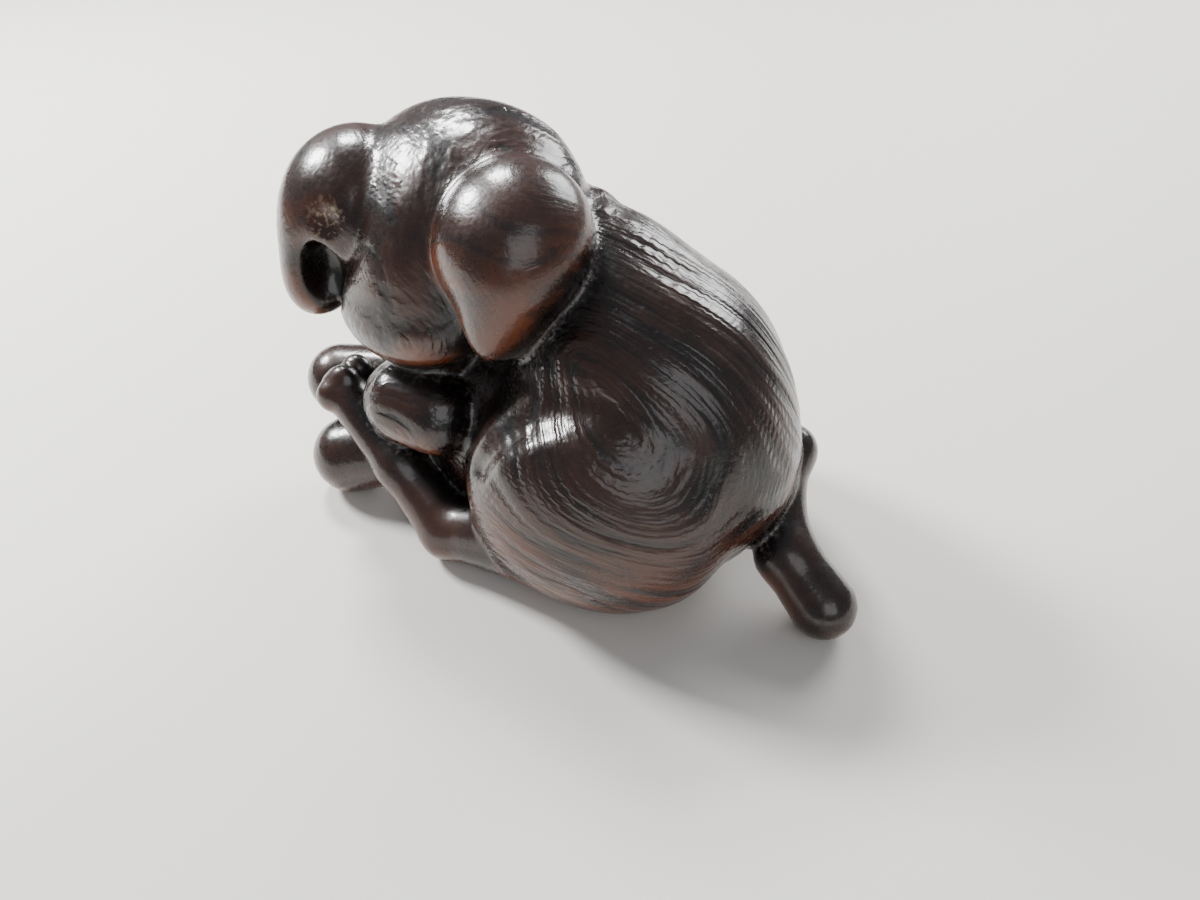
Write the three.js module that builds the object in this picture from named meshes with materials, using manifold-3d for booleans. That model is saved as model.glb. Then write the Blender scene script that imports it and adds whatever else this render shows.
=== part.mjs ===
// A netsuke: one piece of dark wood carved as a seated puppy that turns its bowed head to
// its left and lifts its left hind foot over its forepaws.
// Millimetres. Z is up, the body faces -X, the puppy's left side is -Y.
// The origin is the middle of the footprint, on the ground.

import * as THREE from 'three';
import Module from 'manifold-3d';

// ---------------------------------------------------------------- driving dimensions

const CELL = 0.7;              // spacing of the lattice the surface is first drawn on
const TRIANGLES = 9400;        // facets left after the surface is thinned out
const GROUND_CUT = 0.35;       // how much wood is flattened away under the carving
const MARGIN = 2;              // lattice kept clear around the carving

// head: its middle, and the way it points
const HEAD_MIDDLE = [-11.3, 3.3, 25.8];
const HEAD_TURN = 84;          // degrees the face is turned to the puppy's left
const HEAD_NOD = 36;           // degrees the face is bowed
const HEAD_TILT = 5;           // degrees the left ear is lifted

// head forms, each measured forward, left and up from the middle of the head
const SKULL = { at: [-1.0, 0.3, -0.4], size: [8.4, 10.3, 6.9] };
const BROW = { at: [3.0, 0, 1.6], size: [5.5, 4.2, 4.0] };
const MUZZLE = { at: [7.0, -0.9, -1.5], size: [5.0, 6.6, 4.6] };
const JAW = { at: [8.2, -1.0, -5.2], size: [3.6, 4.2, 2.2] };
const LEFT_EAR = {
  root: { at: [1.6, 7.5, 2.3], size: [5.9, 5.7, 4.9] },
  flap: { at: [3.0, 9.0, 0.9], size: [5.2, 3.2, 4.6] },
  tip: { at: [6.6, 7.9, -0.4], size: [3.2, 2.0, 2.6] },
};
const RIGHT_EAR = {
  root: { at: [1.4, -7.3, 2.3], size: [5.7, 5.7, 4.9] },
  flap: { at: [4.2, -9.4, 0.6], size: [5.2, 2.9, 4.2] },
  tip: { at: [7.4, -9.8, -0.6], size: [2.9, 1.9, 2.4] },
};

// body forms, in the frame of the whole part
const RUMP = { at: [6, 1.0, 11.6], size: [11.8, 10.4, 12.0] };
const BACK = { at: [4.6, 3.2, 16.8], size: [8.7, 8.2, 8.7] };
const CHEST = { at: [-10, 3.5, 11], size: [6, 6, 8] };
const BELLY = { at: [-4.5, 0.5, 7.5], size: [8, 6.5, 7] };
const NECK = { path: [[0, 5, 21], [-7, 4.8, 23.4]], radii: [6.6, 6.2] };
const LEFT_HAUNCH = { at: [4.2, -5.9, 9.6], size: [10.4, 6.8, 9.6] };
const RIGHT_HAUNCH = { at: [3.5, 8.5, 9.5], size: [11.5, 6.5, 9.8] };
const LEFT_FOOT = {
  path: [[0, -6.8, 4.8], [-8.3, -7.1, 2.9], [-13.5, -5.4, 6.8], [-20.0, -2.8, 11]],
  radii: [3.8, 2.4, 2.0, 1.9],
};
const LEFT_ELBOW = { at: [-13.0, -3.6, 12.5], size: [3.7, 3.6, 3.6] };
const LEFT_ARM = { at: [-9.4, -4.0, 12.2], size: [2.7, 3.2, 3.1] };
const LEFT_PAW = { path: [[-11, -1, 7], [-20.5, -3.0, 3.6]], radii: [3, 3.4] };
const RIGHT_PAW = { path: [[-12, 4, 9], [-22.8, 0.6, 8.8]], radii: [3.2, 3.1] };
const TAIL = {
  path: [[14, 6.4, 8.6], [16.2, 5.9, 9.4], [16.2, 2.6, 7.4], [18.3, -1.0, 5.0], [22, -3.0, 2.8]],
  radii: [2.0, 2.0, 2.1, 2.3, 2.6],
};

// a fold of skin standing up round the nape
const NAPE_FOLD = {
  path: [[-2.8, 8.8, 26.6], [-1.3, 7.4, 26.4], [-0.1, 5.4, 26.0], [0.6, 3.4, 25.6], [0.8, 1.4, 25], [0.6, 0, 23.8]],
  radii: [0.9, 1.3, 1.5, 1.4, 1.1, 0.7],
};

// furrows cut into the surface
const KNEE_FURROW = {
  path: [
    [-3.6, -9.6, 13.6],
    [-3.0, -9.0, 15.6],
    [-1.2, -8.3, 17.6],
    [1.4, -7.8, 19.4],
    [4.0, -7.6, 20.4],
    [6.4, -7.8, 20.2],
    [8.6, -8.2, 19.0],
  ],
  radii: [0.5, 0.8, 1.2, 1.4, 1.4, 1.1, 0.5],
};
const EAR_POCKET = { at: [-19.2, -3.4, 22.4], size: [1.5, 2.4, 2.6] };
const EYE_PIT = { at: [-17.9, -3.7, 27.3], size: [0.9, 0.9, 1.1] };

// how softly neighbouring forms run into each other
const SOFT = { torso: 5, chest: 4, neck: 3, haunch: 1.5, limb: 1, seam: 0.6, face: 2, ear: 2.5, furrow: 1 };

// ---------------------------------------------------------------- forms as distance fields

const radians = THREE.MathUtils.degToRad;

// distance to a stretched ball, close to the surface
function ball({ at, size }) {
  const [cx, cy, cz] = at;
  const [rx, ry, rz] = size;
  return (x, y, z) => {
    const u = (x - cx) / rx;
    const v = (y - cy) / ry;
    const w = (z - cz) / rz;
    const near = Math.hypot(u, v, w);
    const slope = Math.hypot(u / rx, v / ry, w / rz) + 1e-9;
    return near * (near - 1) / slope;
  };
}

// distance to a rounded bar whose thickness runs from one radius to the other
function bar(from, to, startRadius, endRadius) {
  const axis = to.map((value, i) => value - from[i]);
  const squared = axis[0] ** 2 + axis[1] ** 2 + axis[2] ** 2;
  return (x, y, z) => {
    const px = x - from[0];
    const py = y - from[1];
    const pz = z - from[2];
    const along = (px * axis[0] + py * axis[1] + pz * axis[2]) / squared;
    const t = Math.min(1, Math.max(0, along));
    const off = Math.hypot(px - t * axis[0], py - t * axis[1], pz - t * axis[2]);
    return off - (startRadius + (endRadius - startRadius) * t);
  };
}

// the lesser of two distances, rounded over where they are closer than soft
function blend(a, b, soft) {
  const overlap = Math.max(soft - Math.abs(a - b), 0) / soft;
  return Math.min(a, b) - overlap * overlap * soft / 4;
}

function join(soft, ...forms) {
  return (x, y, z) => {
    let distance = forms[0](x, y, z);
    for (let i = 1; i < forms.length; i += 1) {
      distance = blend(distance, forms[i](x, y, z), soft);
    }
    return distance;
  };
}

// a form with others cut out of it
function cut(soft, form, ...hollows) {
  return (x, y, z) => {
    let distance = form(x, y, z);
    for (const hollow of hollows) {
      distance = -blend(-distance, hollow(x, y, z), soft);
    }
    return distance;
  };
}

// a limb through a run of points
function limb({ path, radii }) {
  const bars = [];
  for (let i = 0; i + 1 < path.length; i += 1) {
    bars.push(bar(path[i], path[i + 1], radii[i], radii[i + 1]));
  }
  return join(SOFT.limb, ...bars);
}

// places a form given in the head's own forward, left and up
function onHead(form) {
  const turn = radians(HEAD_TURN);
  const nod = radians(HEAD_NOD);
  const tilt = radians(HEAD_TILT);
  const level = new THREE.Vector3(-Math.cos(turn), -Math.sin(turn), 0);
  const plumb = new THREE.Vector3(0, 0, 1);
  const forward = level.clone().multiplyScalar(Math.cos(nod)).addScaledVector(plumb, -Math.sin(nod));
  const crown = level.clone().multiplyScalar(Math.sin(nod)).addScaledVector(plumb, Math.cos(nod));
  const side = new THREE.Vector3().crossVectors(plumb, level);
  const left = side.clone().multiplyScalar(Math.cos(tilt)).addScaledVector(crown, Math.sin(tilt));
  const up = crown.clone().multiplyScalar(Math.cos(tilt)).addScaledVector(side, -Math.sin(tilt));
  const [hx, hy, hz] = HEAD_MIDDLE;
  return (x, y, z) => {
    const px = x - hx;
    const py = y - hy;
    const pz = z - hz;
    return form(
      px * forward.x + py * forward.y + pz * forward.z,
      px * left.x + py * left.y + pz * left.z,
      px * up.x + py * up.y + pz * up.z,
    );
  };
}

function ear({ root, flap, tip }) {
  return join(SOFT.ear, join(SOFT.ear, ball(root), ball(flap)), ball(tip));
}

const head = onHead(
  join(
    SOFT.seam,
    join(SOFT.face, ball(SKULL), ball(BROW), ball(MUZZLE)),
    ball(JAW),
    ear(LEFT_EAR),
    ear(RIGHT_EAR),
  ),
);

const torso = join(
  SOFT.neck,
  join(SOFT.chest, join(SOFT.torso, ball(RUMP), ball(BACK)), ball(CHEST), ball(BELLY)),
  limb(NECK),
);

const limbs = join(
  SOFT.seam,
  join(SOFT.haunch, torso, ball(LEFT_HAUNCH), ball(RIGHT_HAUNCH)),
  limb(LEFT_FOOT),
  ball(LEFT_ELBOW),
  ball(LEFT_ARM),
  limb(LEFT_PAW),
  limb(RIGHT_PAW),
  limb(TAIL),
  limb(NAPE_FOLD),
  head,
);

const puppy = cut(SOFT.furrow, limbs, limb(KNEE_FURROW), ball(EAR_POCKET), ball(EYE_PIT));

// ---------------------------------------------------------------- surface from the field

// the corners of a box that surely holds the carving
const REACH = { from: [-30, -17, -1.5], to: [28, 18, 38] };

// Draws the zero surface of a field with tetrahedra, six to a lattice cell.
function surfaceOf(field) {
  const counts = REACH.from.map((low, i) => Math.ceil((REACH.to[i] - low) / CELL) + 1);
  const strides = [1, counts[0], counts[0] * counts[1]];
  const place = (ix, iy, iz) => ix * strides[0] + iy * strides[1] + iz * strides[2];
  const at = (i, axis) => REACH.from[axis] + i * CELL;

  const values = new Float64Array(counts[0] * counts[1] * counts[2]);
  for (let iz = 0; iz < counts[2]; iz += 1) {
    for (let iy = 0; iy < counts[1]; iy += 1) {
      for (let ix = 0; ix < counts[0]; ix += 1) {
        values[place(ix, iy, iz)] = field(at(ix, 0), at(iy, 1), at(iz, 2));
      }
    }
  }

  const positions = [];
  const known = new Map();
  const leastShare = 0.06;
  const crossing = (a, b) => {
    const [low, high] = a.index < b.index ? [a, b] : [b, a];
    const key = low.index * values.length + high.index;
    if (!known.has(key)) {
      const share = values[low.index] / (values[low.index] - values[high.index]);
      const t = Math.min(1 - leastShare, Math.max(leastShare, share));
      known.set(key, positions.length);
      positions.push(low.cell.map((value, axis) => (
        REACH.from[axis] + CELL * (value + t * (high.cell[axis] - value))
      )));
    }
    return known.get(key);
  };

  const handed = ([a, b, c, d]) => {
    const [p, q, r] = [b, c, d].map((corner) => corner.cell.map((v, i) => v - a.cell[i]));
    return p[0] * (q[1] * r[2] - q[2] * r[1])
      - p[1] * (q[0] * r[2] - q[2] * r[0])
      + p[2] * (q[0] * r[1] - q[1] * r[0]);
  };

  const triangles = [];
  const addTriangle = (a, b, c, forwards) => {
    triangles.push(forwards ? [a, b, c] : [a, c, b]);
  };
  const orders = [[0, 1, 2], [0, 2, 1], [1, 0, 2], [1, 2, 0], [2, 0, 1], [2, 1, 0]];
  for (let iz = 0; iz + 1 < counts[2]; iz += 1) {
    for (let iy = 0; iy + 1 < counts[1]; iy += 1) {
      for (let ix = 0; ix + 1 < counts[0]; ix += 1) {
        for (const order of orders) {
          const cell = [ix, iy, iz];
          const corners = [{ cell: [...cell], index: place(...cell) }];
          for (const axis of order) {
            cell[axis] += 1;
            corners.push({ cell: [...cell], index: place(...cell) });
          }
          const inside = corners.filter((corner) => values[corner.index] < 0);
          const outside = corners.filter((corner) => values[corner.index] >= 0);
          const sorted = inside.length > 2 ? [...outside, ...inside] : [...inside, ...outside];
          const forwards = (handed(sorted) > 0) === (inside.length <= 2);
          const [a, b, c, d] = sorted;
          if (inside.length === 1 || inside.length === 3) {
            addTriangle(crossing(a, b), crossing(a, c), crossing(a, d), forwards);
          }
          if (inside.length === 2) {
            addTriangle(crossing(a, c), crossing(b, d), crossing(b, c), forwards);
            addTriangle(crossing(a, c), crossing(a, d), crossing(b, d), forwards);
          }
        }
      }
    }
  }
  return { positions, triangles };
}

// ---------------------------------------------------------------- thinning out

// A queue that always gives back the entry with the least cost.
class Queue {
  constructor() {
    this.entries = [];
  }

  push(entry) {
    const { entries } = this;
    let i = entries.length;
    entries.push(entry);
    while (i > 0) {
      const parent = (i - 1) >> 1;
      if (entries[parent].cost <= entry.cost) break;
      entries[i] = entries[parent];
      i = parent;
    }
    entries[i] = entry;
  }

  pop() {
    const { entries } = this;
    const first = entries[0];
    const last = entries.pop();
    const count = entries.length;
    if (count > 0) {
      let i = 0;
      for (;;) {
        let child = 2 * i + 1;
        if (child >= count) break;
        if (child + 1 < count && entries[child + 1].cost < entries[child].cost) child += 1;
        if (entries[child].cost >= last.cost) break;
        entries[i] = entries[child];
        i = child;
      }
      entries[i] = last;
    }
    return first;
  }
}

const minus = (a, b) => [a[0] - b[0], a[1] - b[1], a[2] - b[2]];
const dot = (a, b) => a[0] * b[0] + a[1] * b[1] + a[2] * b[2];
const cross = (a, b) => [
  a[1] * b[2] - a[2] * b[1],
  a[2] * b[0] - a[0] * b[2],
  a[0] * b[1] - a[1] * b[0],
];

// squared distance to a plane, weighted by area, as ten sums
function planeSums(a, b, c) {
  const normal = cross(minus(b, a), minus(c, a));
  const doubleArea = Math.sqrt(dot(normal, normal)) + 1e-12;
  const [x, y, z] = normal.map((value) => value / doubleArea);
  const w = -(x * a[0] + y * a[1] + z * a[2]);
  return [x * x, x * y, x * z, x * w, y * y, y * z, y * w, z * z, z * w, w * w]
    .map((value) => value * doubleArea);
}

function misfit(sums, [x, y, z]) {
  return sums[0] * x * x + 2 * sums[1] * x * y + 2 * sums[2] * x * z + 2 * sums[3] * x
    + sums[4] * y * y + 2 * sums[5] * y * z + 2 * sums[6] * y
    + sums[7] * z * z + 2 * sums[8] * z + sums[9];
}

// the point that fits all the planes best, or nothing where they leave it open
function bestPoint(s) {
  const det = s[0] * (s[4] * s[7] - s[5] * s[5])
    - s[1] * (s[1] * s[7] - s[5] * s[2])
    + s[2] * (s[1] * s[5] - s[4] * s[2]);
  const firm = 1e-4;
  if (Math.abs(det) < firm) return null;
  const x = -(s[3] * (s[4] * s[7] - s[5] * s[5])
    - s[1] * (s[6] * s[7] - s[5] * s[8])
    + s[2] * (s[6] * s[5] - s[4] * s[8])) / det;
  const y = -(s[0] * (s[6] * s[7] - s[5] * s[8])
    - s[3] * (s[1] * s[7] - s[5] * s[2])
    + s[2] * (s[1] * s[8] - s[6] * s[2])) / det;
  const z = -(s[0] * (s[4] * s[8] - s[6] * s[5])
    - s[1] * (s[1] * s[8] - s[6] * s[2])
    + s[3] * (s[1] * s[5] - s[4] * s[2])) / det;
  return [x, y, z];
}

// Merges edges, cheapest first, until few enough triangles are left.
function thinOut({ positions, triangles }, target) {
  const points = positions.map((point) => [...point]);
  const faces = triangles.map((triangle) => [...triangle]);
  const around = points.map(() => new Set());
  const sums = points.map(() => new Array(10).fill(0));
  const stamp = new Int32Array(points.length);
  faces.forEach((face, f) => {
    const plane = planeSums(...face.map((v) => points[v]));
    for (const v of face) {
      around[v].add(f);
      for (let i = 0; i < 10; i += 1) sums[v][i] += plane[i];
    }
  });

  const neighbours = (v) => {
    const found = new Set();
    for (const f of around[v]) for (const other of faces[f]) if (other !== v) found.add(other);
    return found;
  };
  const queue = new Queue();
  const longEdge = 0.0004;
  const offer = (a, b) => {
    const both = sums[a].map((value, i) => value + sums[b][i]);
    const middle = points[a].map((value, i) => (value + points[b][i]) / 2);
    const edge = minus(points[b], points[a]);
    const reach = dot(edge, edge);
    const choices = [middle, points[a], points[b]];
    const best = bestPoint(both);
    if (best && dot(minus(best, middle), minus(best, middle)) < reach) choices.push(best);
    let chosen = null;
    let least = Infinity;
    for (const choice of choices) {
      const cost = Math.max(0, misfit(both, choice)) + longEdge * reach;
      if (cost < least) {
        least = cost;
        chosen = choice;
      }
    }
    queue.push({ a, b, cost: least, point: chosen, both, stamps: stamp[a] + stamp[b] });
  };
  points.forEach((_, v) => {
    for (const other of neighbours(v)) if (other > v) offer(v, other);
  });

  const flips = (v, gone, point) => {
    for (const f of around[v]) {
      const face = faces[f];
      if (face.includes(gone)) continue;
      const before = face.map((w) => points[w]);
      const after = face.map((w) => (w === v ? point : points[w]));
      const was = cross(minus(before[1], before[0]), minus(before[2], before[0]));
      const is = cross(minus(after[1], after[0]), minus(after[2], after[0]));
      const sizes = Math.sqrt(dot(was, was) * dot(is, is));
      const leastAgreement = 0.3;
      if (dot(was, is) <= leastAgreement * sizes) return true;
      const longest = Math.max(...[0, 1, 2].map((i) => {
        const side = minus(after[(i + 1) % 3], after[i]);
        return dot(side, side);
      }));
      const leastRoundness = 0.06;
      if (Math.sqrt(dot(is, is)) < leastRoundness * longest) return true;
    }
    return false;
  };

  let left = faces.length;
  while (left > target && queue.entries.length) {
    const { a, b, point, both, stamps } = queue.pop();
    if (!around[a] || !around[b] || stamps !== stamp[a] + stamp[b]) continue;
    const shared = [...neighbours(a)].filter((v) => neighbours(b).has(v));
    if (shared.length !== 2 || flips(a, b, point) || flips(b, a, point)) continue;
    points[a] = point;
    sums[a] = both;
    for (const f of around[b]) {
      if (faces[f].includes(a)) {
        for (const v of faces[f]) if (v !== b) around[v].delete(f);
        faces[f] = null;
        left -= 1;
      } else {
        faces[f] = faces[f].map((v) => (v === b ? a : v));
        around[a].add(f);
      }
    }
    around[b] = null;
    const ring = neighbours(a);
    stamp[a] += 1;
    for (const v of ring) stamp[v] += 1;
    for (const v of ring) {
      offer(a, v);
      for (const w of neighbours(v)) if (w !== a && (w > v || !ring.has(w))) offer(v, w);
    }
  }
  return { positions: points, triangles: faces.filter(Boolean) };
}

// ---------------------------------------------------------------- the carving

function compact({ positions, triangles }) {
  const renamed = new Map();
  const kept = [];
  const index = [];
  for (const triangle of triangles) {
    for (const v of triangle) {
      if (!renamed.has(v)) {
        renamed.set(v, kept.length / 3);
        kept.push(...positions[v]);
      }
      index.push(renamed.get(v));
    }
  }
  return { kept, index };
}

const manifold = await Module();
manifold.setup();

function solidOf({ kept, index }) {
  return new manifold.Manifold(new manifold.Mesh({
    numProp: 3,
    vertProperties: Float32Array.from(kept),
    triVerts: Uint32Array.from(index),
  }));
}

// the block of air the carving is flattened against
function groundBlock() {
  const depth = 20;
  const span = 200;
  const geometry = new THREE.BoxGeometry(span, span, depth);
  geometry.translate(0, 0, GROUND_CUT - depth / 2);
  const corners = geometry.getAttribute('position');
  const positions = [];
  const names = new Map();
  const ids = [];
  for (let i = 0; i < corners.count; i += 1) {
    const point = [corners.getX(i), corners.getY(i), corners.getZ(i)];
    const name = point.join();
    if (!names.has(name)) {
      names.set(name, positions.length);
      positions.push(point);
    }
    ids.push(names.get(name));
  }
  const order = Array.from(geometry.getIndex().array, (i) => ids[i]);
  const triangles = [];
  for (let i = 0; i < order.length; i += 3) triangles.push(order.slice(i, i + 3));
  return solidOf(compact({ positions, triangles }));
}

const carved = solidOf(compact(thinOut(surfaceOf(puppy), TRIANGLES)));
const seated = carved.subtract(groundBlock()).getMesh();

const geometry = new THREE.BufferGeometry();
geometry.setAttribute('position', new THREE.BufferAttribute(seated.vertProperties, 3));
geometry.setIndex(new THREE.BufferAttribute(seated.triVerts, 1));
geometry.computeBoundingBox();
const footprint = geometry.boundingBox.getCenter(new THREE.Vector3());
geometry.translate(-footprint.x, -footprint.y, -geometry.boundingBox.min.z);
geometry.computeVertexNormals();

const wood = new THREE.MeshStandardMaterial({ color: 0x2e1710, roughness: 0.35, metalness: 0 });
const puppyMesh = new THREE.Mesh(geometry, wood);
puppyMesh.name = 'puppy';

const netsuke = new THREE.Group();
netsuke.name = 'netsuke';
netsuke.add(puppyMesh);

export default netsuke;
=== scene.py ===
# A netsuke of dark, handled wood: a seated puppy with its head turned and bowed.
# The carving is drawn again from the same forms as the solid, with its toes, fur and ear grain.

import math

import bpy
import numpy as np
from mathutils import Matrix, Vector


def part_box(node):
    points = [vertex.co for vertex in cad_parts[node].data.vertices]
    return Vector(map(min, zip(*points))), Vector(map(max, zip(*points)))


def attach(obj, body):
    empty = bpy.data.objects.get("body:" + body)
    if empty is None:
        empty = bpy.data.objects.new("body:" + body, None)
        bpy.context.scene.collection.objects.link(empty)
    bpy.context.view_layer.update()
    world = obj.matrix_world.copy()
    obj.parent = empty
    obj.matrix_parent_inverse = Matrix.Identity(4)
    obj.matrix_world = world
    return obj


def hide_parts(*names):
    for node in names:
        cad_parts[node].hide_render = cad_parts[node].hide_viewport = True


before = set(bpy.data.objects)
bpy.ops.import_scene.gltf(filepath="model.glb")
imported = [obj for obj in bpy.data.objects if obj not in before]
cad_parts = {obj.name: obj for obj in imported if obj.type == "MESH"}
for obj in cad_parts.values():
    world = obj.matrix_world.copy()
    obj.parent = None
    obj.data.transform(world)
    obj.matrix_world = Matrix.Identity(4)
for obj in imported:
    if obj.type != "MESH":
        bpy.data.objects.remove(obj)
cad_low, cad_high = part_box("puppy")
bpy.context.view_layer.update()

MM = 0.001

# ---------------------------------------------------------------- forms, in millimetres

GROUND_CUT = 0.35
HEAD_MIDDLE = (-11.3, 3.3, 25.8)
HEAD_TURN, HEAD_NOD, HEAD_TILT = 84, 36, 5

SKULL = ((-1.0, 0.3, -0.4), (8.4, 10.3, 6.9))
BROW = ((3.0, 0, 1.6), (5.5, 4.2, 4.0))
MUZZLE = ((7.0, -0.9, -1.5), (5.0, 6.6, 4.6))
JAW = ((8.2, -1.0, -5.2), (3.6, 4.2, 2.2))
LEFT_EAR = (
    ((1.6, 7.5, 2.3), (5.9, 5.7, 4.9)),
    ((3.0, 9.0, 0.9), (5.2, 3.2, 4.6)),
    ((6.6, 7.9, -0.4), (3.2, 2.0, 2.6)),
)
RIGHT_EAR = (
    ((1.4, -7.3, 2.3), (5.7, 5.7, 4.9)),
    ((4.2, -9.4, 0.6), (5.2, 2.9, 4.2)),
    ((7.4, -9.8, -0.6), (2.9, 1.9, 2.4)),
)
RUMP = ((6, 1.0, 11.6), (11.8, 10.4, 12.0))
BACK = ((4.6, 3.2, 16.8), (8.7, 8.2, 8.7))
CHEST = ((-10, 3.5, 11), (6, 6, 8))
BELLY = ((-4.5, 0.5, 7.5), (8, 6.5, 7))
NECK = (((0, 5, 21), 6.6), ((-7, 4.8, 23.4), 6.2))
LEFT_HAUNCH = ((4.2, -5.9, 9.6), (10.4, 6.8, 9.6))
RIGHT_HAUNCH = ((3.5, 8.5, 9.5), (11.5, 6.5, 9.8))
LEFT_FOOT = (
    ((0, -6.8, 4.8), 3.8),
    ((-8.3, -7.1, 2.9), 2.4),
    ((-13.5, -5.4, 6.8), 2.0),
    ((-20, -2.8, 11), 1.9),
)
LEFT_TOES = ((-20.4, -4.0, 10.8), (-19.7, -2.8, 11.9), (-19.4, -1.3, 12.1))
TOE_SIZE = (1.4, 1.1, 1.4)
LEFT_ELBOW = ((-13.0, -3.6, 12.5), (3.7, 3.6, 3.6))
LEFT_ARM = ((-9.4, -4.0, 12.2), (2.7, 3.2, 3.1))
LEFT_PAW = (((-11, -1, 7), 3), ((-20.5, -3.0, 3.6), 3.4))
RIGHT_PAW = (((-12, 4, 9), 3.2), ((-22.8, 0.6, 8.8), 3.1))
TAIL = (
    ((14, 6.4, 8.6), 2.0),
    ((16.2, 5.9, 9.4), 2.0),
    ((16.2, 2.6, 7.4), 2.1),
    ((18.3, -1.0, 5.0), 2.3),
    ((22, -3.0, 2.8), 2.6),
)
NAPE_FOLD = (
    ((-2.8, 8.8, 26.6), 0.9),
    ((-1.3, 7.4, 26.4), 1.3),
    ((-0.1, 5.4, 26.0), 1.5),
    ((0.6, 3.4, 25.6), 1.4),
    ((0.8, 1.4, 25), 1.1),
    ((0.6, 0, 23.8), 0.7),
)
KNEE_FURROW = (
    ((-3.6, -9.8, 13.6), 0.2),
    ((-3.0, -9.4, 15.6), 0.4),
    ((-1.2, -8.7, 17.6), 0.6),
    ((1.4, -8.1, 19.7), 0.8),
    ((4.0, -7.9, 20.7), 0.8),
    ((6.4, -8.1, 20.5), 0.6),
    ((8.6, -8.6, 19.2), 0.2),
)
EAR_POCKET = ((-19.2, -3.4, 22.4), (1.5, 2.4, 2.6))
EYE_PIT = ((-17.9, -3.7, 27.3), (0.9, 0.9, 1.1))
# how far each kind of joint is rounded
SOFT = {
    "torso": 5,
    "chest": 4,
    "neck": 3,
    "haunch": 1.5,
    "limb": 1,
    "seam": 0.6,
    "face": 2,
    "ear": 2.5,
    "furrow": 1,
    "toes": 0.3,
    "elbow": 2.5,
    "knee": 2,
}


def smooth_least(a, b, soft):
    overlap = np.maximum(soft - np.abs(a - b), 0) / soft
    return np.minimum(a, b) - overlap * overlap * soft / 4


def join(soft, first, *others):
    for other in others:
        first = smooth_least(first, other, soft)
    return first


def cut(soft, form, *hollows):
    for hollow in hollows:
        form = -smooth_least(-form, hollow, soft)
    return form


def ball(points, form):
    centre, size = (np.array(value, points.dtype) for value in form)
    local = (points - centre) / size
    near = np.sqrt((local**2).sum(-1))
    slope = np.sqrt(((local / size) ** 2).sum(-1)) + 1e-9
    return near * (near - 1) / slope


def limb(points, stations):
    bars = []
    for (start, start_radius), (end, end_radius) in zip(stations, stations[1:]):
        start, end = np.array(start, points.dtype), np.array(end, points.dtype)
        axis = end - start
        along = np.clip((points - start) @ axis / (axis @ axis), 0, 1)
        off = np.sqrt(((points - start - along[..., None] * axis) ** 2).sum(-1))
        bars.append(off - (start_radius + (end_radius - start_radius) * along))
    return join(SOFT["limb"], *bars)


def head_axes():
    turn, nod, tilt = (math.radians(angle) for angle in (HEAD_TURN, HEAD_NOD, HEAD_TILT))
    level = np.array([-math.cos(turn), -math.sin(turn), 0])
    plumb = np.array([0, 0, 1.0])
    forward = math.cos(nod) * level - math.sin(nod) * plumb
    crown = math.sin(nod) * level + math.cos(nod) * plumb
    side = np.cross(plumb, level)
    left = math.cos(tilt) * side + math.sin(tilt) * crown
    up = math.cos(tilt) * crown - math.sin(tilt) * side
    return np.stack([forward, left, up], 1)


HEAD_AXES = head_axes()


def on_head(points):
    return (points - np.array(HEAD_MIDDLE, points.dtype)) @ HEAD_AXES.astype(points.dtype)


def ear(local, forms):
    root, flap, tip = (ball(local, form) for form in forms)
    return join(SOFT["ear"], root, flap, tip)


def regions(points):
    """Distance to each region of the carving."""
    local = on_head(points)
    torso = join(SOFT["torso"], ball(points, RUMP), ball(points, BACK))
    torso = join(SOFT["chest"], torso, ball(points, CHEST), ball(points, BELLY))
    torso = join(SOFT["neck"], torso, limb(points, NECK))
    toes = [ball(points, (toe, TOE_SIZE)) for toe in LEFT_TOES]
    face = join(SOFT["face"], ball(local, SKULL), ball(local, BROW), ball(local, MUZZLE))
    return {
        "torso": torso,
        "left_haunch": ball(points, LEFT_HAUNCH),
        "right_haunch": ball(points, RIGHT_HAUNCH),
        "foot": join(SOFT["toes"], limb(points, LEFT_FOOT), *toes),
        "elbow": join(SOFT["elbow"], ball(points, LEFT_ELBOW), ball(points, LEFT_ARM)),
        "paws": join(SOFT["seam"], limb(points, LEFT_PAW), limb(points, RIGHT_PAW)),
        "tail": limb(points, TAIL),
        "fold": limb(points, NAPE_FOLD),
        "face": join(SOFT["seam"], face, ball(local, JAW)),
        "left_ear": ear(local, LEFT_EAR),
        "right_ear": ear(local, RIGHT_EAR),
    }


def puppy(points):
    part = regions(points)
    head = join(SOFT["seam"], part["face"], part["left_ear"], part["right_ear"])
    body = join(SOFT["haunch"], part["torso"], part["left_haunch"], part["right_haunch"])
    limbs = [part[name] for name in ("foot", "elbow", "paws", "tail", "fold")]
    whole = join(SOFT["seam"], body, *limbs, head)
    whole = cut(SOFT["knee"], whole, limb(points, KNEE_FURROW))
    whole = cut(SOFT["furrow"], whole, ball(points, EAR_POCKET), ball(points, EYE_PIT))
    return np.maximum(whole, GROUND_CUT - points[..., 2])


# ---------------------------------------------------------------- surface from the forms

CELL = 0.3
REACH_LOW = np.array([-28.0, -14.5, -0.6])
REACH_HIGH = np.array([26.5, 16.5, 35.5])


def field_values():
    counts = np.ceil((REACH_HIGH - REACH_LOW) / CELL).astype(int) + 1
    x, y, z = (REACH_LOW[axis] + CELL * np.arange(counts[axis]) for axis in range(3))
    values = np.empty(counts, np.float32)
    for i, place in enumerate(x):
        grid = np.stack(np.meshgrid([place], y, z, indexing="ij"), -1)[0].astype(np.float32)
        values[i] = puppy(grid)
    return values


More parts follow.
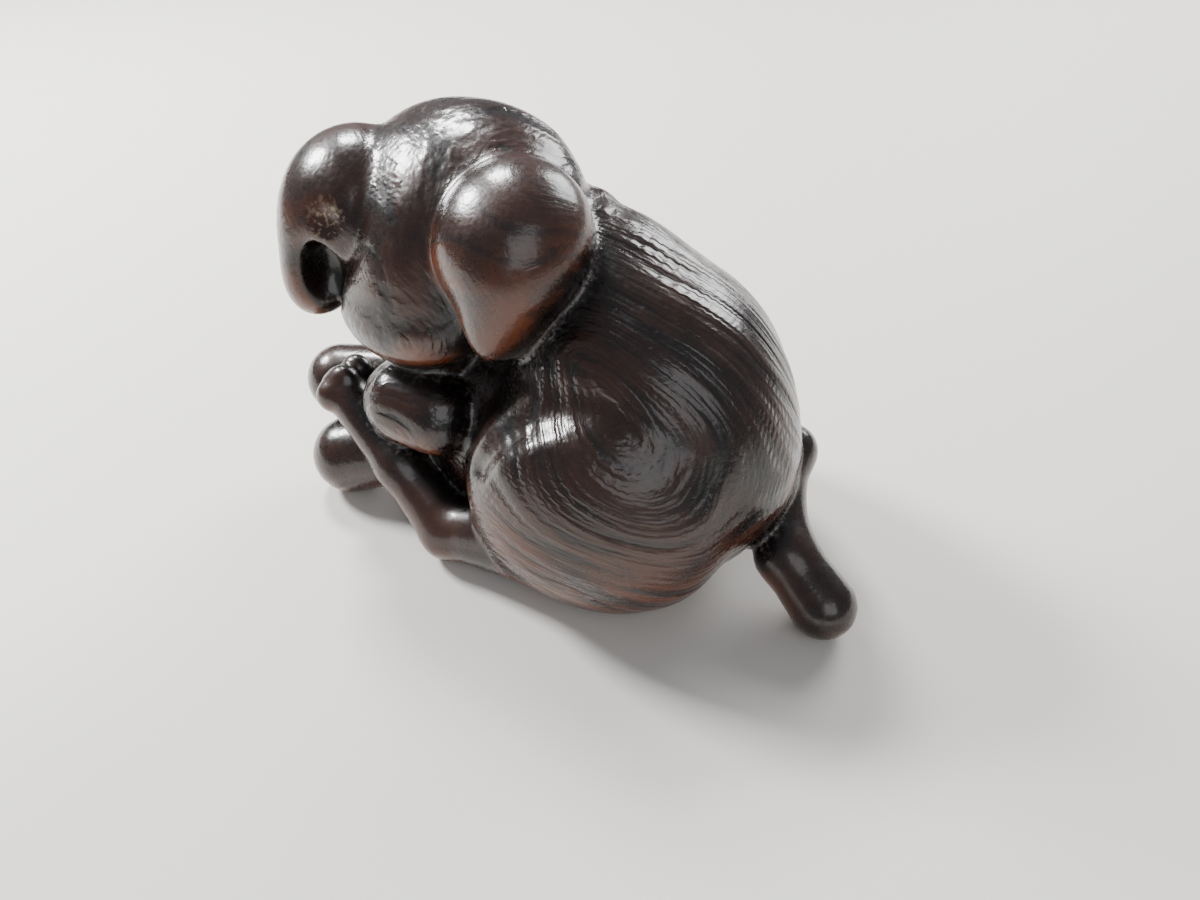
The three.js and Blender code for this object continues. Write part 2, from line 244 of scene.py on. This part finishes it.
def surface_nets(values):
    """One vertex in each cell the surface passes through, one quad round each edge it crosses."""
    cells = np.array(values.shape) - 1
    crossings, cell_names, quads = [], [], []
    for axis in range(3):
        low = np.take(values, np.arange(cells[axis]), axis)
        high = np.take(values, np.arange(1, cells[axis] + 1), axis)
        where = np.argwhere((low < 0) != (high < 0))
        a, b = low[tuple(where.T)], high[tuple(where.T)]
        point = where.astype(float)
        point[:, axis] += a / (a - b)
        u, v = (axis + 1) % 3, (axis + 2) % 3
        ring = []
        for du, dv in ((-1, -1), (0, -1), (0, 0), (-1, 0)):
            cell = where.copy()
            cell[:, u] += du
            cell[:, v] += dv
            ring.append(np.ravel_multi_index(cell.T, cells))
        quad = np.stack(ring, 1)
        outward_low = a >= 0
        quad[outward_low] = quad[outward_low][:, ::-1]
        quads.append(quad)
        crossings.append(np.repeat(point, 4, 0))
        cell_names.append(np.stack(ring, 1).ravel())
    quads = np.concatenate(quads)
    names, index = np.unique(np.concatenate(cell_names), return_inverse=True)
    crossings = np.concatenate(crossings)
    count = np.bincount(index)
    vertices = np.stack([np.bincount(index, crossings[:, axis]) / count for axis in range(3)], 1)
    faces = np.searchsorted(names, quads)
    return REACH_LOW + CELL * vertices, faces


def slope(points, step=0.04):
    out = np.empty_like(points)
    for axis in range(3):
        shift = np.zeros(3)
        shift[axis] = step
        out[:, axis] = puppy(points + shift) - puppy(points - shift)
    return out / (2 * step)


SETTLE_ROUNDS = 2
SETTLE_REACH = 0.3 * CELL
LEAST_SLOPE = 0.25


def settle(points):
    """Moves points onto the surface; returns them and the way out there."""
    for _ in range(SETTLE_ROUNDS):
        gradient = slope(points)
        length = np.maximum((gradient**2).sum(1), LEAST_SLOPE)
        step = puppy(points) / length
        points = points - np.clip(step, -SETTLE_REACH, SETTLE_REACH)[:, None] * gradient
    gradient = slope(points)
    return points, gradient / np.maximum(np.linalg.norm(gradient, axis=1), 1e-6)[:, None]


points, faces = surface_nets(field_values())
points, outward = settle(points)

# ---------------------------------------------------------------- which way the fur lies

# where a stroke of fur was cut, and the way it runs
FUR_STROKES = [
    ((6.9, -5.5, 21.4), (0.66, -0.43, -0.61)),
    ((11.7, -4.5, 19.9), (0.19, -0.58, -0.80)),
    ((12.0, -8.2, 15.2), (-0.29, -0.74, -0.61)),
    ((8.7, -11.4, 13.0), (-0.84, -0.41, -0.35)),
    ((3.8, -0.9, 25.2), (0.20, -0.86, -0.47)),
    ((9.1, -0.3, 24.3), (0.58, -0.67, -0.46)),
    ((13.2, -0.5, 21.4), (0.32, -0.74, -0.59)),
    ((14.3, -5.5, 15.3), (-0.06, -0.53, -0.85)),
    ((9.6, -6.5, 19.5), (0.55, -0.32, -0.77)),
    ((10.0, -8.9, 16.3), (-0.48, -0.74, -0.48)),
    ((6.8, 2.3, 25.8), (0.76, -0.58, -0.28)),
    ((14.7, -0.5, 19.7), (0.27, -0.70, -0.66)),
    ((3.8, -9.0, 18.0), (-0.94, -0.23, -0.24)),
    ((0.5, -10.7, 14.3), (-0.87, 0.04, -0.49)),
    ((6.2, -11.2, 14.8), (-0.87, -0.32, -0.37)),
    ((1.3, -12.0, 9.4), (-0.94, 0.19, -0.28)),
    ((8.3, -11.9, 9.6), (-0.91, -0.27, -0.33)),
    ((12.1, -10.0, 9.3), (-0.68, -0.54, -0.50)),
    ((4.3, -6.4, 19.2), (-0.98, 0.04, -0.17)),
    ((-1.9, -8.2, 15.2), (-0.50, -0.49, -0.72)),
    ((-4.1, -9.9, 8.7), (-0.42, 0.25, -0.87)),
    ((-13.0, -0.4, 30.4), (0.03, -0.79, -0.61)),
    ((-16.3, 0.8, 29.9), (0.29, -0.83, -0.47)),
    ((-10.3, -1.3, 30.3), (0.13, -0.72, -0.68)),
    ((-13.0, -4.6, 25.5), (0.18, -0.43, -0.89)),
    ((-11.8, -5.6, 21.2), (-0.04, -0.09, -1.00)),
    ((-8.5, -4.8, 21.1), (0.13, -0.02, -0.99)),
    ((-16.0, -4.4, 21.0), (0.10, -0.10, -0.99)),
    ((-3.7, -4.1, 27.9), (0.11, -0.49, -0.87)),
    ((-5.8, -4.3, 28.0), (0.31, -0.53, -0.79)),
    ((-1.1, -3.2, 28.4), (-0.01, -0.62, -0.78)),
    ((-20.7, -2.3, 25.6), (-0.08, -0.34, -0.94)),
    ((-22.3, -2.6, 24.6), (0.08, -0.36, -0.93)),
    ((-11.8, -6.3, 13.1), (0.07, -0.18, -0.98)),
    ((-8.1, -5.7, 13.6), (0.10, -0.59, -0.80)),
    ((-13.6, -6.6, 8.3), (-0.77, 0.35, 0.54)),
    ((17.0, -1.9, 13.7), (0.03, -0.39, -0.92)),
    ((18.7, -2.2, 6.8), (0.56, -0.65, -0.51)),
    ((22.0, -4.6, 4.4), (0.73, -0.38, -0.58)),
    ((-19.4, -5.2, 4.4), (0.06, -0.23, -0.97)),
    ((-10.1, 2.1, 32.3), (-0.08, -0.91, -0.40)),
    ((-6.0, 4.9, 32.3), (-0.06, -1.00, -0.00)),
    ((8.0, 9.0, 22.0), (0.70, 0.30, -0.60)),
    ((14.0, 6.0, 18.0), (0.40, 0.30, -0.85)),
    ((3.0, 15.0, 12.0), (-0.80, 0.00, -0.50)),
    ((10.0, 12.0, 12.0), (-0.40, 0.20, -0.85)),
    ((-4.0, 12.0, 8.0), (-0.80, -0.20, -0.50)),
    ((-9.0, 9.0, 14.0), (-0.30, 0.10, -0.95)),
    ((-8.0, 12.0, 27.0), (0.30, 0.20, -0.90)),
    ((0.0, 11.0, 20.0), (0.70, 0.30, -0.65)),
]


STROKE_REACH = 2.6
FAR_SHARE, FAR_REACH_SQUARED = 0.02, 9


def fur_direction(points, outward):
    """The lie of the fur at each point: the strokes near it, laid flat on the surface."""
    total = np.zeros_like(points)
    for place, way in FUR_STROKES:
        off = ((points - np.array(place)) ** 2).sum(1)
        weight = np.exp(-off / (2 * STROKE_REACH**2)) + FAR_SHARE / (1 + off / FAR_REACH_SQUARED)
        total += weight[:, None] * np.array(way)
    total -= (total * outward).sum(1)[:, None] * outward
    return total / np.maximum(np.linalg.norm(total, axis=1), 1e-6)[:, None]


GUESS_CELL = 2.5
GUESS_ROUNDS = 160
GUESS_STIFFNESS = 1e-4


def first_guess(points, way, other_way):
    """unrolled() solved on a coarse grid of cells, as a start for the fine one."""
    base = np.floor(points / GUESS_CELL).astype(np.int64)
    part = points / GUESS_CELL - base
    base -= base.min(0)
    span = base.max(0) + 2
    corners = list(np.ndindex(2, 2, 2))
    cells, shares, rises, drifts = [], [], [], []
    for corner in corners:
        cell = base + corner
        cells.append((cell[:, 0] * span[1] + cell[:, 1]) * span[2] + cell[:, 2])
        share = np.where(np.array(corner) == 1, part, 1 - part)
        sign = np.where(np.array(corner) == 1, 1.0, -1.0) / GUESS_CELL
        tilt = np.stack([sign[axis] * share[:, axis - 2] * share[:, axis - 1] for axis in range(3)], 1)
        shares.append(share.prod(1))
        rises.append((tilt * way).sum(1))
        drifts.append((tilt * other_way).sum(1))
    size = int(span.prod())

    def gathered(weights, value):
        return sum(weight * value[cell] for weight, cell in zip(weights, cells))

    def scattered(weights, value):
        return sum(np.bincount(cell, weight * value, size) for weight, cell in zip(weights, cells))

    def squared(value):
        along_way = scattered(rises, gathered(rises, value))
        return along_way + scattered(drifts, gathered(drifts, value)) + GUESS_STIFFNESS * value

    value = np.zeros(size)
    residual = scattered(rises, np.ones(len(points)))
    search = residual
    strength = (residual * residual).sum()
    for _ in range(GUESS_ROUNDS):
        spreading = squared(search)
        step = strength / (search * spreading).sum()
        value = value + step * search
        residual = residual - step * spreading
        renewed = (residual * residual).sum()
        search = residual + renewed / strength * search
        strength = renewed
    return gathered(shares, value)


def unrolled(points, edges, way, rounds, start):
    """A number on each vertex that grows by one a millimetre along way, as nearly as can be."""
    a, b = edges.T
    rise = ((points[b] - points[a]) * (way[a] + way[b])).sum(1) / 2
    count = len(points)
    degree = np.bincount(a, minlength=count) + np.bincount(b, minlength=count)
    wanted = np.bincount(b, rise, count) - np.bincount(a, rise, count)

    def spread(value):
        difference = value[b] - value[a]
        return np.bincount(b, difference, count) - np.bincount(a, difference, count)

    value = start
    residual = wanted - spread(value)
    search = residual / degree
    strength = (residual * search).sum()
    for _ in range(rounds):
        spreading = spread(search)
        step = strength / (search * spreading).sum()
        value = value + step * search
        residual = residual - step * spreading
        scaled = residual / degree
        renewed = (residual * scaled).sum()
        search = scaled + renewed / strength * search
        strength = renewed
    return value


sides = np.concatenate([faces[:, [i, (i + 1) % 4]] for i in range(4)])
edges = np.unique(np.sort(sides, 1), axis=0)
lie = fur_direction(points, outward)
side = np.cross(outward, lie)
ROUNDS = 150
across = unrolled(points, edges, side, ROUNDS, first_guess(points, side, lie))
along = unrolled(points, edges, lie, ROUNDS, first_guess(points, lie, side))

# ---------------------------------------------------------------- relief


CELL_PRIMES = (374761393, 668265263, 2147483647)
MIXING_PRIME = 1274126177
NOISE_LEVELS = 65536


def lattice_noise(place, seed):
    """Smooth noise from 0 to 1."""
    base = np.floor(place).astype(np.int64)
    part = place - base
    part = part * part * (3 - 2 * part)
    total = 0
    for corner in np.ndindex(2, 2, 2):
        cell = base + corner
        mixed = cell @ np.array(CELL_PRIMES) + seed * MIXING_PRIME
        mixed = (mixed ^ (mixed >> 13)) * MIXING_PRIME & 0xFFFFFFFF
        value = (mixed ^ (mixed >> 16)) % NOISE_LEVELS / (NOISE_LEVELS - 1)
        share = np.prod(np.where(np.array(corner) == 1, part, 1 - part), 1)
        total = total + share * value
    return total


def ramp(value, low, high):
    t = np.clip((value - low) / (high - low), 0, 1)
    return t * t * (3 - 2 * t)


part = regions(points)
names = list(part)
REGION_EDGE = 0.5


def belongs(*wanted):
    """1 on the named regions, fading to 0 past their edge."""
    inside = np.min([part[name] for name in wanted], 0)
    others = np.min([part[name] for name in names if name not in wanted], 0)
    return ramp(others - inside, -REGION_EDGE, REGION_EDGE)


def hollow(reach):
    """1 deep in a hollow of about this reach, 0 where the surface is open."""
    return np.clip(1 - puppy(points + reach * outward) / reach, 0, 1)


furry = belongs("torso", "left_haunch", "right_haunch", "face", "elbow", "fold")
on_ears = belongs("left_ear", "right_ear")
hollow_near = hollow(0.7)
hollow_wide = hollow(3.5)

LOCK_WIDTH, LOCK_LENGTH, LOCK_DEPTH = 0.9, 5.0, 0.16
LOCK_SEED = 3
GROUND_FADE = (0.02, 0.8)
lock = lattice_noise(np.stack([across / LOCK_WIDTH, along / LOCK_LENGTH, 0 * across], 1), LOCK_SEED)
depth = LOCK_DEPTH * furry * (1 - np.abs(2 * lock - 1))
clear_of_ground = ramp(points[:, 2], *(GROUND_CUT + fade for fade in GROUND_FADE))
points = points - (depth * clear_of_ground)[:, None] * outward
PIT_REACH = (1.0, 1.0, 1.2)
pit = np.clip(1 - ball(points, (EYE_PIT[0], PIT_REACH)), 0, 1)

# ---------------------------------------------------------------- the mesh

to_frame = (np.array(cad_low) + np.array(cad_high)) / 2 / MM
own_middle = (points.min(0) + points.max(0)) / 2
shift = to_frame - own_middle
shift[2] = cad_low[2] / MM - points[:, 2].min()
places = (points + shift) * MM

mesh = bpy.data.meshes.new("puppy_carving")
mesh.from_pydata(places.tolist(), [], faces.tolist())
mesh.polygons.foreach_set("use_smooth", np.ones(len(mesh.polygons), bool))
for name, values in {
    "across": across,
    "along": along,
    "furry": furry,
    "ears": on_ears,
    "hollow_near": hollow_near,
    "hollow_wide": hollow_wide,
    "down": 0.5 - 0.5 * outward[:, 2],
    "pit": pit,
}.items():
    attribute = mesh.attributes.new(name, "FLOAT", "POINT")
    attribute.data.foreach_set("value", values.astype(np.float32))
carving = bpy.data.objects.new("puppy_carving", mesh)
bpy.context.scene.collection.objects.link(carving)

# ---------------------------------------------------------------- wood


class Nodes:
    """Builds a material's nodes by short calls."""

    def __init__(self, name):
        self.material = bpy.data.materials.new(name)
        self.material.use_nodes = True
        self.tree = self.material.node_tree
        self.tree.nodes.clear()

    def add(self, kind, **sockets):
        node = self.tree.nodes.new(kind)
        for name, value in sockets.items():
            self.put(node.inputs[name.replace("_", " ")], value)
        return node

    def put(self, socket, value):
        if isinstance(value, bpy.types.NodeSocket):
            self.tree.links.new(value, socket)
        else:
            socket.default_value = value

    def attribute(self, name):
        node = self.tree.nodes.new("ShaderNodeAttribute")
        node.attribute_name = name
        return node.outputs["Fac"]

    def maths(self, operation, *values, clamp=False):
        node = self.tree.nodes.new("ShaderNodeMath")
        node.operation = operation
        node.use_clamp = clamp
        for socket, value in zip(node.inputs, values):
            self.put(socket, value)
        return node.outputs[0]

    def place(self, x, y, z):
        return self.add("ShaderNodeCombineXYZ", X=x, Y=y, Z=z).outputs[0]

    def noise(self, where, scale, detail=2.0, roughness=0.5):
        node = self.add("ShaderNodeTexNoise", Vector=where, Scale=scale, Detail=detail)
        node.inputs["Roughness"].default_value = roughness
        return node.outputs["Fac"]

    def span(self, value, low, high, to_low=0.0, to_high=1.0):
        node = self.tree.nodes.new("ShaderNodeMapRange")
        node.interpolation_type = "SMOOTHSTEP"
        for socket, number in zip(node.inputs, (value, low, high, to_low, to_high)):
            self.put(socket, number)
        return node.outputs[0]

    def mix(self, share, a, b):
        node = self.tree.nodes.new("ShaderNodeMix")
        node.data_type = "RGBA"
        self.put(node.inputs["Factor"], share)
        colours = [socket for socket in node.inputs if socket.type == "RGBA"]
        self.put(colours[0], a)
        self.put(colours[1], b)
        return [socket for socket in node.outputs if socket.type == "RGBA"][0]


# near-black: painted shade in the fur grooves and hollows, and the real dark grain lines of the ears
SHADE_AND_GRAIN_BLACK = (0.003, 0.002, 0.0018, 1)
UMBER = (0.010, 0.0048, 0.0034, 1)
RED_BROWN = (0.034, 0.0105, 0.0048, 1)
# orange of a painted floor reflection, laid on surfaces that look down
FLOOR_REFLECTION_ORANGE = (0.115, 0.029, 0.0078, 1)
DUST = (0.13, 0.115, 0.10, 1)
PIT_METAL = (0.26, 0.21, 0.15, 1)
# how much further the painted floor reflection reaches up the ears
EAR_REFLECTION_REACH = 0.16
STROKE_WIDTH, STROKE_LENGTH = 0.50, 4.2
GRAIN_WIDTH, GRAIN_LENGTH = 0.34, 7.0
STROKE_DEPTH = 0.00042


PATCH_SCALE, FLECK_SCALE = 160.0, 2600.0
GRAIN_SHARE, FLECK_SHARE = 0.20, 0.04
COAT, COAT_ROUGHNESS = 0.35, 0.14


def dark_wood():
    n = Nodes("handled dark wood")
    here = n.add("ShaderNodeTexCoord").outputs["Object"]
    across, along = n.attribute("across"), n.attribute("along")
    furry, ears = n.attribute("furry"), n.attribute("ears")

    def lines(width, length, layer, detail, roughness):
        where = n.place(n.maths("DIVIDE", across, width), n.maths("DIVIDE", along, length), layer)
        return n.noise(where, 1.0, detail=detail, roughness=roughness)

    strand = lines(STROKE_WIDTH, STROKE_LENGTH, 0.0, detail=2.5, roughness=0.55)
    grain = lines(GRAIN_WIDTH, GRAIN_LENGTH, 5.0, detail=3.0, roughness=0.6)
    patch = n.noise(here, PATCH_SCALE, detail=3.0)
    fleck = n.noise(here, FLECK_SCALE, detail=2.0)
    painted_groove_shade = n.maths("MULTIPLY", n.span(strand, 0.52, 0.38), furry)
    grain_line = n.maths("MULTIPLY", n.span(grain, 0.50, 0.36), ears)

    # painted reflection of the floor, orange where the surface looks down, and painted shade, black in
    # the fur grooves and the hollows
    facing_down = n.maths("ADD", n.attribute("down"), n.maths("MULTIPLY", ears, EAR_REFLECTION_REACH))
    under = n.span(facing_down, 0.26, 0.70)
    # painted floor reflection on downward faces, broken up by the patch noise
    painted_floor_reflection = n.maths("MULTIPLY", under, n.span(patch, 0.30, 0.62), clamp=True)
    wood = n.mix(n.span(patch, 0.38, 0.66, 0.15, 0.85), UMBER, RED_BROWN)
    wood = n.mix(painted_floor_reflection, wood, FLOOR_REFLECTION_ORANGE)
    # painted shade in the low parts of the fur strokes
    wood = n.mix(n.maths("MULTIPLY", painted_groove_shade, 0.85), wood, SHADE_AND_GRAIN_BLACK)
    wood = n.mix(n.maths("MULTIPLY", grain_line, 0.75), wood, SHADE_AND_GRAIN_BLACK)
    # painted shade deep in the wide hollows
    wood = n.mix(n.span(n.attribute("hollow_wide"), 0.18, 0.7, 0.0, 0.92), wood, SHADE_AND_GRAIN_BLACK)

    # pale dust in the tight corners, and what is left of the eye's setting
    dusty = n.maths("MULTIPLY", n.span(n.attribute("hollow_near"), 0.10, 0.5), n.span(fleck, 0.50, 0.72))
    wood = n.mix(n.maths("MULTIPLY", dusty, 0.5), wood, DUST)
    pit = n.maths("MULTIPLY", n.attribute("pit"), n.span(fleck, 0.52, 0.62))
    wood = n.mix(pit, wood, PIT_METAL)

    grain_height = n.maths("MULTIPLY", n.maths("MULTIPLY", grain, ears), GRAIN_SHARE)
    height = n.maths("ADD", n.maths("MULTIPLY", strand, furry), grain_height)
    height = n.maths("ADD", height, n.maths("MULTIPLY", fleck, FLECK_SHARE))
    bump = n.add("ShaderNodeBump", Strength=1.0, Distance=STROKE_DEPTH, Height=height)
    unevenness = n.maths("ADD", n.maths("MULTIPLY", patch, 0.6), n.maths("MULTIPLY", fleck, 0.4))
    rough = n.span(unevenness, 0.3, 0.7, 0.22, 0.38)
    shader = n.add("ShaderNodeBsdfPrincipled", Base_Color=wood, Roughness=rough, Normal=bump.outputs[0])
    n.put(shader.inputs["Metallic"], pit)
    n.put(shader.inputs["Coat Normal"], bump.outputs[0])
    shader.inputs["Coat Weight"].default_value = COAT
    shader.inputs["Coat Roughness"].default_value = COAT_ROUGHNESS
    shader.inputs["Specular IOR Level"].default_value = 0.5
    n.add("ShaderNodeOutputMaterial", Surface=shader.outputs[0])
    return n.material


mesh.materials.append(dark_wood())
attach(carving, "root")
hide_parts("puppy")

# ---------------------------------------------------------------- floor, light, camera

length = cad_high[0] - cad_low[0]
middle = (Vector(cad_low) + Vector(cad_high)) / 2
FLOOR_COLOUR = (0.72, 0.70, 0.66, 1)
FLOOR_ROUGHNESS = 0.6
ROOM_COLOUR = (0.9, 0.92, 1.0, 1)
ROOM_STRENGTH = 0.30
# each lamp's azimuth, elevation, distance and size in lengths of the carving, and power
LAMPS = {
    "key": (-95, 36, 5.0, 1.1, 1.3),
    "upper key": (-130, 48, 5.0, 1.0, 0.8),
    "fill": (40, 35, 7.0, 5.0, 0.35),
    "back window": (165, 28, 6.0, 3.0, 0.9),
}


def plain_floor():
    half = 20 * length
    floor_mesh = bpy.data.meshes.new("floor")
    corners = [(-half, -half), (half, -half), (half, half), (-half, half)]
    floor_mesh.from_pydata([(x, y, cad_low[2]) for x, y in corners], [], [(0, 1, 2, 3)])
    n = Nodes("pale floor")
    shader = n.add("ShaderNodeBsdfPrincipled", Base_Color=FLOOR_COLOUR, Roughness=FLOOR_ROUGHNESS)
    n.add("ShaderNodeOutputMaterial", Surface=shader.outputs[0])
    floor_mesh.materials.append(n.material)
    floor = bpy.data.objects.new("floor", floor_mesh)
    bpy.context.scene.collection.objects.link(floor)


def lamp(name, azimuth, elevation, distance, size, power):
    """A square soft light aimed at the carving, placed like a camera view."""
    a, e = math.radians(azimuth), math.radians(elevation)
    way = Vector((math.sin(a) * math.cos(e), -math.cos(a) * math.cos(e), math.sin(e)))
    data = bpy.data.lights.new(name, "AREA")
    data.size = size * length
    data.energy = power
    light = bpy.data.objects.new(name, data)
    light.location = middle + way * distance * length
    light.rotation_mode = "QUATERNION"
    light.rotation_quaternion = (-way).to_track_quat("-Z", "Y")
    bpy.context.scene.collection.objects.link(light)


plain_floor()
for lamp_name, numbers in LAMPS.items():
    lamp(lamp_name, *numbers)
world = bpy.data.worlds.new("pale room")
world.use_nodes = True
background = world.node_tree.nodes["Background"]
background.inputs["Color"].default_value = ROOM_COLOUR
background.inputs["Strength"].default_value = ROOM_STRENGTH
bpy.context.scene.world = world

# the camera stands above and to the left of the carving, a little over a carving's length away
CAMERA_PLACE = Vector((24.503, -52.608, 60.0))
CAMERA_AZIMUTH = 23.0
CAMERA_PITCH = 41.5
CAMERA_LENS = 28.5
CAMERA_SENSOR = 36.0

camera_data = bpy.data.cameras.new("camera")
camera_data.lens = CAMERA_LENS
camera_data.sensor_width = CAMERA_SENSOR
camera_data.clip_start = 0.001
camera = bpy.data.objects.new("camera", camera_data)
camera.location = (CAMERA_PLACE + Vector(shift.tolist())) * MM
a, e = math.radians(CAMERA_AZIMUTH), math.radians(CAMERA_PITCH)
back = Vector((math.sin(a) * math.cos(e), -math.cos(a) * math.cos(e), math.sin(e)))
camera.rotation_mode = "QUATERNION"
camera.rotation_quaternion = (-back).to_track_quat("-Z", "Y")
bpy.context.scene.collection.objects.link(camera)
bpy.context.scene.camera = camera
